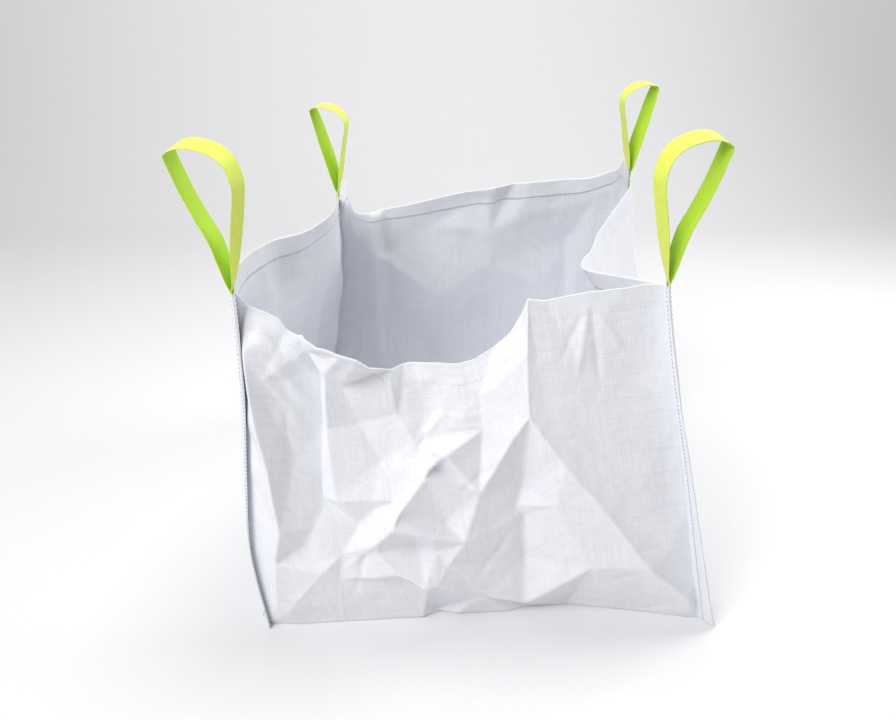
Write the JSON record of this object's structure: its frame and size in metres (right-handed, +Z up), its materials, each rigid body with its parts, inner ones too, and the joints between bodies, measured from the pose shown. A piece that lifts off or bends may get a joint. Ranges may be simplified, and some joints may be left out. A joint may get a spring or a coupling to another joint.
{
  "type": "bulk bag",
  "caption": "Open-top woven bulk bag standing empty and slumped on the floor, with webbing lifting loops sewn into its corner seams",
  "frame": {"origin": "on the floor, at the middle of the square bottom", "axes": "+Z up, the slumped front wall faces -Y, +X is to the right when looking at the front"},
  "size_m": [1.0505, 0.974, 0.9989],
  "materials": {
    "body_cloth": "woven coated cloth, slightly glossy",
    "side_cloth": "woven coated cloth, slightly glossy",
    "lifting_webbing": "ribbed woven webbing",
    "seam_thread": "spun sewing thread",
    "hem_thread": "spun sewing thread"
  },
  "bodies": {
    "bag": {"body_panel": "body_cloth", "left_panel": "side_cloth", "right_panel": "side_cloth", "loop_tail_front_left": "lifting_webbing", "corner_stitches_front_left": "seam_thread", "loop_tail_back_left": "lifting_webbing", "corner_stitches_back_left": "seam_thread", "loop_tail_front_right": "lifting_webbing", "corner_stitches_front_right": "seam_thread", "loop_tail_back_right": "lifting_webbing", "corner_stitches_back_right": "seam_thread", "floor_stitches_left": "seam_thread", "floor_stitches_right": "seam_thread", "hem_stitches_front": "hem_thread", "hem_stitches_back": "hem_thread", "hem_stitches_left": "hem_thread", "hem_stitches_right": "hem_thread"},
    "front_left_loop": {"loop_front_left": "lifting_webbing"},
    "back_left_loop": {"loop_back_left": "lifting_webbing"},
    "front_right_loop": {"loop_front_right": "lifting_webbing"},
    "back_right_loop": {"loop_back_right": "lifting_webbing"}
  },
  "joints": [
    {"name": "front_left_loop_swing", "type": "hinge", "parent": "bag", "child": "front_left_loop", "pos_m": [-0.4433, -0.4321, 0.7476], "axis": [-0.3102, -0.9507, 0], "range_deg": [-75, 75], "stiffness_Nm_per_rad": 0.3},
    {"name": "back_left_loop_swing", "type": "hinge", "parent": "bag", "child": "back_left_loop", "pos_m": [-0.3648, 0.4036, 0.7146], "axis": [-0.3102, -0.9507, 0], "range_deg": [-75, 75], "stiffness_Nm_per_rad": 0.3},
    {"name": "front_right_loop_swing", "type": "hinge", "parent": "bag", "child": "front_right_loop", "pos_m": [0.3236, -0.4092, 0.7446], "axis": [-0.3102, 0.9507, 0], "range_deg": [-75, 75], "stiffness_Nm_per_rad": 0.3},
    {"name": "back_right_loop_swing", "type": "hinge", "parent": "bag", "child": "back_right_loop", "pos_m": [0.4178, 0.4036, 0.7576], "axis": [-0.3102, 0.9507, 0], "range_deg": [-75, 75], "stiffness_Nm_per_rad": 0.3}
  ]
}
